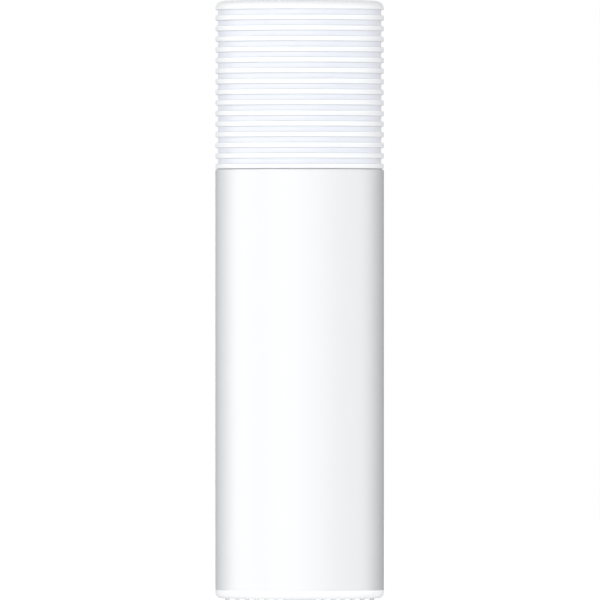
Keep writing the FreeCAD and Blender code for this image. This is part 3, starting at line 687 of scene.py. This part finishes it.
def finish(name, colour, roughness, grain=0.35, bump=0.02, tint=0.03, stretch=(1, 1, 1), **shader):
    """A procedural finish. grain is the noise's size and bump its depth, both in millimetres."""
    material = bpy.data.materials.new(name)
    material.use_nodes = True
    tree = material.node_tree
    link = tree.links.new
    principled = tree.nodes["Principled BSDF"]
    place = new_node(tree, "TexCoord")
    mapping = new_node(tree, "Mapping", {"Scale": stretch})
    link(place.outputs["Object"], mapping.inputs["Vector"])
    fine = new_node(tree, "TexNoise", {"Scale": 1 / (grain * MM), "Detail": 3.0})
    broad = new_node(tree, "TexNoise", {"Scale": BROAD_SCALE, "Detail": 2.0})
    for noise in (fine, broad):
        link(mapping.outputs["Vector"], noise.inputs["Vector"])

    darker = [channel * (1 - tint) for channel in colour]
    shades = {"A": with_alpha(colour), "B": with_alpha(darker)}
    shade = new_node(tree, "Mix", shades, data_type="RGBA")
    link(broad.outputs["Fac"], shade.inputs["Factor"])
    link(shade.outputs["Result"], principled.inputs["Base Color"])

    smoothest = max(roughness - GLOSS_SPREAD, LEAST_ROUGHNESS)
    gloss = new_node(tree, "MapRange", {"To Min": smoothest, "To Max": roughness + GLOSS_SPREAD})
    link(fine.outputs["Fac"], gloss.inputs["Value"])
    link(gloss.outputs["Result"], principled.inputs["Roughness"])

    relief = new_node(tree, "Bump", {"Strength": 1.0, "Distance": bump * MM})
    link(fine.outputs["Fac"], relief.inputs["Height"])
    link(relief.outputs["Normal"], principled.inputs["Normal"])
    principled.inputs["Subsurface Radius"].default_value = (1.0, 1.0, 1.0)
    for socket, value in shader.items():
        principled.inputs[socket.replace("_", " ").title()].default_value = value
    return material


# %% Putting a finish on
def coat(piece, material):
    """Give a modelled piece its finish."""
    piece.data.materials.clear()
    piece.data.materials.append(material)
    print(material.name, "on", piece.name)


def coat_nodes(material, *kinds):
    """Give CAD nodes their finish, on each object's own slot.

    A kind is a node's name without its number.
    """
    found = [name for name in nodes if name.rstrip("_0123456789") in kinds]
    for name in found:
        slot = nodes[name].material_slots[0]
        slot.link = "OBJECT"
        slot.material = material
    print(material.name, "on", ", ".join(found))


# %% [markdown]
# ### The opaque shells
# The sleeve is satin polycarbonate with a very fine spark-eroded grain. The panel has a coarser
# one, which hides scratches round the ports, the button is glossier, and the foot is matt rubber.
# One white for all would be quicker, but it is these small differences that tell the parts apart.

# %% The opaque shells
coat(sleeve, finish("satin_white", (0.88, 0.895, 0.91), 0.42, grain=0.25, bump=0.004, tint=0.01))
coat(panel, finish("textured_white", (0.80, 0.81, 0.82), 0.55, grain=0.3, bump=0.02))
coat(button, finish("semi_gloss_white", (0.86, 0.87, 0.88), 0.28, grain=0.4, bump=0.004))
coat(foot, finish("soft_grey", (0.82, 0.825, 0.83), 0.72, grain=0.2, bump=0.02, tint=0.06))


# %% [markdown]
# ### The frosted shells
# The crown and the base ring are frosted: light goes a little way in and comes out softened,
# which subsurface scattering does. They also pass on light from their far side. Following it
# right through the tower would be slow and noisy, so a little even emission stands for it.

# %% The frosted shells
def frosted(name, colour, inner_light, roughness, coat_weight=0.0, coat_roughness=0.1):
    """Frosted plastic. inner_light stands for the daylight that the translucent wall passes on."""
    return finish(
        name, colour, roughness, grain=0.3, bump=0.003, tint=0.012,
        subsurface_weight=0.6, subsurface_scale=0.002,
        coat_weight=coat_weight, coat_roughness=coat_roughness,
        emission_color=(0.97, 0.98, 1.0, 1), emission_strength=inner_light,
    )


frosted_crown = frosted("frosted_crown", (0.62, 0.62, 0.62), inner_light=0.4, roughness=0.5)
frosted_base = frosted(
    "frosted_base", (0.27, 0.27, 0.27), inner_light=0.8, roughness=0.2, coat_weight=0.3,
    coat_roughness=0.12,
)
coat(crown, frosted_crown)
coat(base, frosted_base)


# %% [markdown]
# ### Painted shade in the ribs
# The crown's colour and its glow are painted darker where shade falls. The corners of the ribs get
# painted shade, the grooves are painted a little darker and slightly blue, and the seam gap under
# the flange and the crown's inside take the darkest stop, a painted shadow. Painting each rib
# would take fourteen masks. All the ribs have the same radii, so one ramp on the distance from the
# axis paints them all at once.

# %% Distance from the axis
def radius_share(tree, inner, outer, bottom, top):
    """A value from 0 at the inner radius to 1 at the outer one, in millimetres.

    Below bottom it is 0, and above top it is 1.
    """
    link = tree.links.new
    place = new_node(tree, "TexCoord")
    level = new_node(tree, "VectorMath", {1: (1, 1, 0)}, operation="MULTIPLY")
    length = new_node(tree, "VectorMath", operation="LENGTH")
    share = new_node(tree, "MapRange", {"From Min": inner * MM, "From Max": outer * MM})
    parts = new_node(tree, "SeparateXYZ")
    above = new_node(tree, "Math", {1: top * MM}, operation="GREATER_THAN")
    either = new_node(tree, "Math", operation="MAXIMUM")
    over_gap = new_node(tree, "Math", {1: bottom * MM}, operation="GREATER_THAN")
    both = new_node(tree, "Math", operation="MULTIPLY")
    link(place.outputs["Object"], level.inputs[0])
    link(level.outputs["Vector"], length.inputs[0])
    link(length.outputs["Value"], share.inputs["Value"])
    link(place.outputs["Object"], parts.inputs["Vector"])
    link(parts.outputs["Z"], above.inputs[0])
    link(share.outputs["Result"], either.inputs[0])
    link(above.outputs["Value"], either.inputs[1])
    link(parts.outputs["Z"], over_gap.inputs[0])
    link(either.outputs["Value"], both.inputs[0])
    link(over_gap.outputs["Value"], both.inputs[1])
    return both.outputs["Value"]


# %% Shading by distance
def shade_by_radius(material, inner, outer, bottom, top, stops):
    """Paint shade into the colour and the inner light, with (radius, colour) stops between two
    heights.
    """
    tree = material.node_tree
    link = tree.links.new
    principled = tree.nodes["Principled BSDF"]
    own = principled.inputs["Base Color"].links[0].from_socket
    ramp = new_node(tree, "ValToRGB")
    points = ramp.color_ramp.elements
    while len(points) < len(stops):
        points.new(0.5)
    for point, (radius, colour) in zip(points, stops):
        point.position = (radius - inner) / (outer - inner)
        point.color = with_alpha(colour)
    shaded = new_node(tree, "Mix", {"Factor": 1.0}, data_type="RGBA", blend_type="MULTIPLY")
    link(radius_share(tree, inner, outer, bottom, top), ramp.inputs["Fac"])
    link(own, shaded.inputs["A"])
    link(ramp.outputs["Color"], shaded.inputs["B"])
    link(shaded.outputs["Result"], principled.inputs["Base Color"])
    # The same painted shade darkens the glow as well as the colour.
    link(ramp.outputs["Color"], principled.inputs["Emission Color"])
    print(material.name, "shaded with", len(points), "stops")


# %% Painted shade on the crown
RIB_TINT = (0.97, 0.985, 1.0)
# Grooves: painted shade, a little darker than the ribs, and slightly bluer.
GROOVE_SHADE_AND_TINT = (0.85, 0.87, 0.93)
# Painted shade at the corners of the ribs.
CORNER_PAINTED_SHADE = (0.68, 0.7, 0.73)
# Painted shadow: the seam gap under the flange and the crown's inside take this darkest stop.
SEAM_PAINTED_SHADOW = (0.36, 0.37, 0.38)

shade_by_radius(
    frosted_crown,
    inner=GROOVE - 0.6,
    outer=OUTER,
    bottom=SLEEVE_TOP + SHADOW_GAP - 0.01,
    top=cap_bottom + 0.25,
    stops=[
        (GROOVE - 0.45, SEAM_PAINTED_SHADOW),
        (GROOVE - 0.1, GROOVE_SHADE_AND_TINT),
        (GROOVE + 0.1, GROOVE_SHADE_AND_TINT),
        (GROOVE + 0.3, CORNER_PAINTED_SHADE),
        (OUTER - 0.25, CORNER_PAINTED_SHADE),
        (OUTER - 0.08, RIB_TINT),
    ],
)

# %% [markdown]
# ### The moulded parts inside
# The parts inside keep their CAD shape. Each group gets the finish of what it is made of, so that
# a view into a port or an opened tower looks right. The moulded parts differ mostly in colour and
# grain: the frame is graphite, the antenna carrier and the light guide are left in natural
# colours that let radio and light through.

# %% The moulded parts inside
coat_nodes(
    finish("moulded_graphite", (0.035, 0.037, 0.04), 0.5, grain=0.4, bump=0.02, tint=0.2),
    "chassis",
)
coat_nodes(
    finish("moulded_ivory", (0.62, 0.61, 0.57), 0.5, grain=0.4, bump=0.015),
    "antenna_carrier",
)
coat_nodes(
    finish("socket_black", (0.018, 0.018, 0.02), 0.45, grain=0.3, bump=0.01, tint=0.3),
    "ethernet_insert", "power_inlet", "pair_switch_body", "reset_switch_body",
)
coat_nodes(
    finish("reset_white", (0.8, 0.8, 0.8), 0.5, grain=0.3, bump=0.01),
    "reset_switch_plunger",
)
coat_nodes(
    finish("lead_jacket", (0.06, 0.06, 0.065), 0.5, grain=0.3, bump=0.01, tint=0.2),
    "antenna_lead",
)

# %% The parts that light passes
coat_nodes(
    finish("clear_pipe", (0.75, 0.86, 0.78), 0.12, grain=0.6, bump=0.002, transmission_weight=0.5),
    "link_lights",
)
coat_nodes(
    finish("frosted_guide", (0.86, 0.89, 0.9), 0.5, grain=0.3, bump=0.01, subsurface_weight=0.4,
           subsurface_scale=0.003),
    "light_guide",
)
coat_nodes(
    finish("light_package", (0.84, 0.8, 0.5), 0.35, grain=0.4, bump=0.01),
    "status_lights",
)

# %% [markdown]
# ### The boards and the metals
# Solder mask is a deep green lacquer, and chips are black epoxy with a fine, sandy grain. Plated
# parts are a little less than fully metallic where they can be seen: in a room this plain a
# perfect mirror has nothing to reflect and would turn black, while real plating always scatters
# some light. A stretched grain gives rolled, drawn and extruded metal its direction.

# %% The boards and their chips
coat_nodes(
    finish("solder_mask", (0.012, 0.12, 0.05), 0.28, grain=0.5, bump=0.02, tint=0.35),
    "main_board", "light_board", "antenna",
)
coat_nodes(
    finish("chip_epoxy", (0.022, 0.022, 0.025), 0.55, grain=0.15, bump=0.01, tint=0.25),
    "processor", "memory_chip", "flash_chip", "ethernet_switch_chip", "radio_chip",
    "line_transformer", "pair_switch_plunger",
)
coat_nodes(
    finish("ferrite", (0.07, 0.07, 0.075), 0.65, grain=0.25, bump=0.03, tint=0.3),
    "power_coil",
)
coat_nodes(
    finish("thermal_pad", (0.42, 0.28, 0.32), 0.8, grain=0.3, bump=0.03, tint=0.15),
    "processor_pad", "shield_pad",
)

# %% The metals
coat_nodes(
    finish("zinc_plate", (0.55, 0.56, 0.6), 0.3, grain=0.2, bump=0.004, metallic=1.0),
    "base_screws", "board_screws", "carrier_screws", "heat_sink_screws", "heat_sink_posts",
)
coat_nodes(
    finish("tin_plate", (0.7, 0.71, 0.72), 0.34, grain=0.5, bump=0.004, tint=0.08,
           stretch=(1, 0.2, 1), metallic=0.55),
    "ethernet_shell", "shield_can",
)
coat_nodes(
    finish("gold_flash", (0.83, 0.6, 0.24), 0.25, grain=0.2, bump=0.002, metallic=0.6),
    "ethernet_contacts", "lead_plugs",
)
coat_nodes(
    finish("nickel", (0.72, 0.7, 0.66), 0.2, grain=0.3, bump=0.002, metallic=0.6),
    "power_pin",
)
coat_nodes(
    finish("drawn_can", (0.68, 0.68, 0.7), 0.28, grain=0.4, bump=0.004, metallic=1.0,
           stretch=(0.1, 1, 1)),
    "smoothing_capacitor",
)
coat_nodes(
    finish("extruded_aluminium", (0.6, 0.61, 0.63), 0.36, grain=0.3, bump=0.01, metallic=1.0,
           stretch=(1, 1, 0.06)),
    "heat_sink",
)

# %% [markdown]
# ### The label
# The label is satin film with rows of generic printed bars and no lettering. Ink has no thickness
# worth modelling, so it is drawn in the finish. A brick texture on Object coordinates prints the
# bars at their real size: each brick is a bar, and the mortar is the bare film between them. A
# margin at both ends stays unprinted.

# %% The label's printed bars
BAR_LENGTH = 3.4
LINE_PITCH = 1.9
LINE_GAP = 0.55
PRINTED_HALF = 14.5


def printed_bars(tree, millimetres):
    """A brick texture whose bricks are bars of ink, sized in millimetres."""
    bars = new_node(
        tree,
        "TexBrick",
        {
            "Scale": 1.0,
            "Brick Width": BAR_LENGTH,
            "Row Height": LINE_PITCH,
            "Mortar Size": LINE_GAP,
            "Color1": (0.08, 0.08, 0.09, 1),
            "Color2": (0.16, 0.16, 0.17, 1),
        },
        offset=0.35,
        squash=0.7,
        squash_frequency=3,
    )
    tree.links.new(millimetres, bars.inputs["Vector"])
    return bars


# %% The label's film
label_film = finish("label_film", (0.72, 0.73, 0.74), 0.4, grain=0.3, bump=0.003, tint=0.03)
film = label_film.node_tree
film_link = film.links.new
film_shader = film.nodes["Principled BSDF"]
film_colour = film_shader.inputs["Base Color"].links[0].from_socket

where = new_node(film, "TexCoord")
scaled = new_node(film, "Mapping", {"Scale": (1 / MM, 1 / MM, 1 / MM)})
split = new_node(film, "SeparateXYZ")
along = new_node(film, "Math", operation="ABSOLUTE")
inside_margin = new_node(film, "Math", {1: PRINTED_HALF}, operation="LESS_THAN")
ink = new_node(film, "Math", operation="SUBTRACT", use_clamp=True)
inked = new_node(film, "Mix", data_type="RGBA")
film_link(where.outputs["Object"], scaled.inputs["Vector"])
bars = printed_bars(film, scaled.outputs["Vector"])
film_link(scaled.outputs["Vector"], split.inputs["Vector"])
film_link(split.outputs["Y"], along.inputs[0])
film_link(along.outputs["Value"], inside_margin.inputs[0])
film_link(inside_margin.outputs["Value"], ink.inputs[0])
film_link(bars.outputs["Fac"], ink.inputs[1])
film_link(ink.outputs["Value"], inked.inputs["Factor"])
film_link(film_colour, inked.inputs["A"])
film_link(bars.outputs["Color"], inked.inputs["B"])
film_link(inked.outputs["Result"], film_shader.inputs["Base Color"])
coat(label, label_film)

# %% [markdown]
# ## Floor and surroundings
# The tower stands on a pale floor that melts into white. A curved backdrop would do the same, but
# a flat floor works from every side. The floor glows faintly, and is left out of reflections and
# shadows, so that it stays even and adds nothing to the tower's own light. The world is white to
# the camera only, and almost dark to the tower, because the lamps alone should shape it.

# %% The floor
FLOOR_SIZE = 6.0
FLOOR_GLOW = 0.54

select_nothing()
bpy.ops.mesh.primitive_plane_add(size=FLOOR_SIZE, location=(0, 0, 0))
floor = bpy.context.object
floor.name = "floor"
coat(
    floor,
    finish(
        "floor_paint", (0.95, 0.95, 0.95), 0.8, grain=4.0, bump=0.001, tint=0.002,
        emission_color=(1, 1, 1, 1), emission_strength=FLOOR_GLOW,
    ),
)
floor.visible_diffuse = False
floor.visible_glossy = False
floor.visible_shadow = False

# %% The surroundings
AMBIENT = 0.02

world = bpy.data.worlds.new("studio")
bpy.context.scene.world = world
world.use_nodes = True
sky = world.node_tree
surround = sky.nodes["Background"]
surround.inputs["Color"].default_value = (0.97, 0.985, 1.0, 1)
surround.inputs["Strength"].default_value = AMBIENT
backdrop = new_node(sky, "Background", {"Color": (1, 1, 1, 1), "Strength": 1.0})
seen = new_node(sky, "LightPath")
choose = new_node(sky, "MixShader")
sky.links.new(seen.outputs["Is Camera Ray"], choose.inputs["Fac"])
sky.links.new(surround.outputs["Background"], choose.inputs[1])
sky.links.new(backdrop.outputs["Background"], choose.inputs[2])
sky.links.new(choose.outputs["Shader"], sky.nodes["World Output"].inputs["Surface"])
print("the world lights the tower with", AMBIENT)


# %% [markdown]
# ## Lamps
# Two lamps share the front, so that its brightness is broad and even, and one on each side keeps
# the edges a soft grey against the white behind them. The left one is stronger. A far lamp is a
# sun with a wide disc: its light is the same at the tower's foot and at its top, which a near
# softbox can't do. The lamp behind lifts the ports and is left out of reflections, where it would
# draw a bright line down both edges.

# %% The lamps
def soft_sun(name, azimuth, elevation, strength, spread=40):
    """A soft far lamp, spread degrees wide. Azimuth 0 is the front and 90 the +X side."""
    turned, rise = math.radians(azimuth), math.radians(elevation)
    flat = math.cos(rise)
    towards = Vector((math.sin(turned) * flat, -math.cos(turned) * flat, math.sin(rise)))
    lamp = bpy.data.lights.new(name, "SUN")
    lamp.energy = strength
    lamp.angle = math.radians(spread)
    holder = bpy.data.objects.new(name, lamp)
    bpy.context.scene.collection.objects.link(holder)
    holder.rotation_euler = towards.to_track_quat("Z", "Y").to_euler()
    print(name, "lamp of strength", strength)
    return holder


soft_sun("left", azimuth=-92, elevation=10, strength=1.42)
soft_sun("front_left", azimuth=-20, elevation=10, strength=1.15)
soft_sun("front_right", azimuth=20, elevation=10, strength=0.88)
soft_sun("right", azimuth=95, elevation=10, strength=1.1)
soft_sun("from_above", azimuth=-5, elevation=45, strength=0.3)
soft_sun("from_below", azimuth=-2, elevation=-30, strength=1.2, spread=60)
behind = soft_sun("behind", azimuth=180, elevation=15, strength=2.7, spread=20)
behind.visible_glossy = False

# %% [markdown]
# ## The camera
# The view is level and nearly without perspective, as in a catalogue. An orthographic camera
# would lose the last trace of depth, so this one stands far away with a very long lens. A small
# upward shift keeps the lens level while the frame takes in the whole tower.

# %% The camera
SIDESTEP = 0.00013
DISTANCE = 7.124
EYE_HEIGHT = 0.0965

camera_data = bpy.data.cameras.new("camera")
camera_data.sensor_width = 36.0
camera_data.lens = 1200.0
camera_data.shift_y = 0.05
camera_data.clip_start = 0.5
camera_data.clip_end = 60.0
camera = bpy.data.objects.new("camera", camera_data)
bpy.context.scene.collection.objects.link(camera)
camera.location = (SIDESTEP, -DISTANCE, EYE_HEIGHT)
camera.rotation_euler = (math.pi / 2, 0, 0)
bpy.context.scene.camera = camera
bpy.context.scene.view_settings.view_transform = "Standard"
print("the camera is", DISTANCE, "metres away")
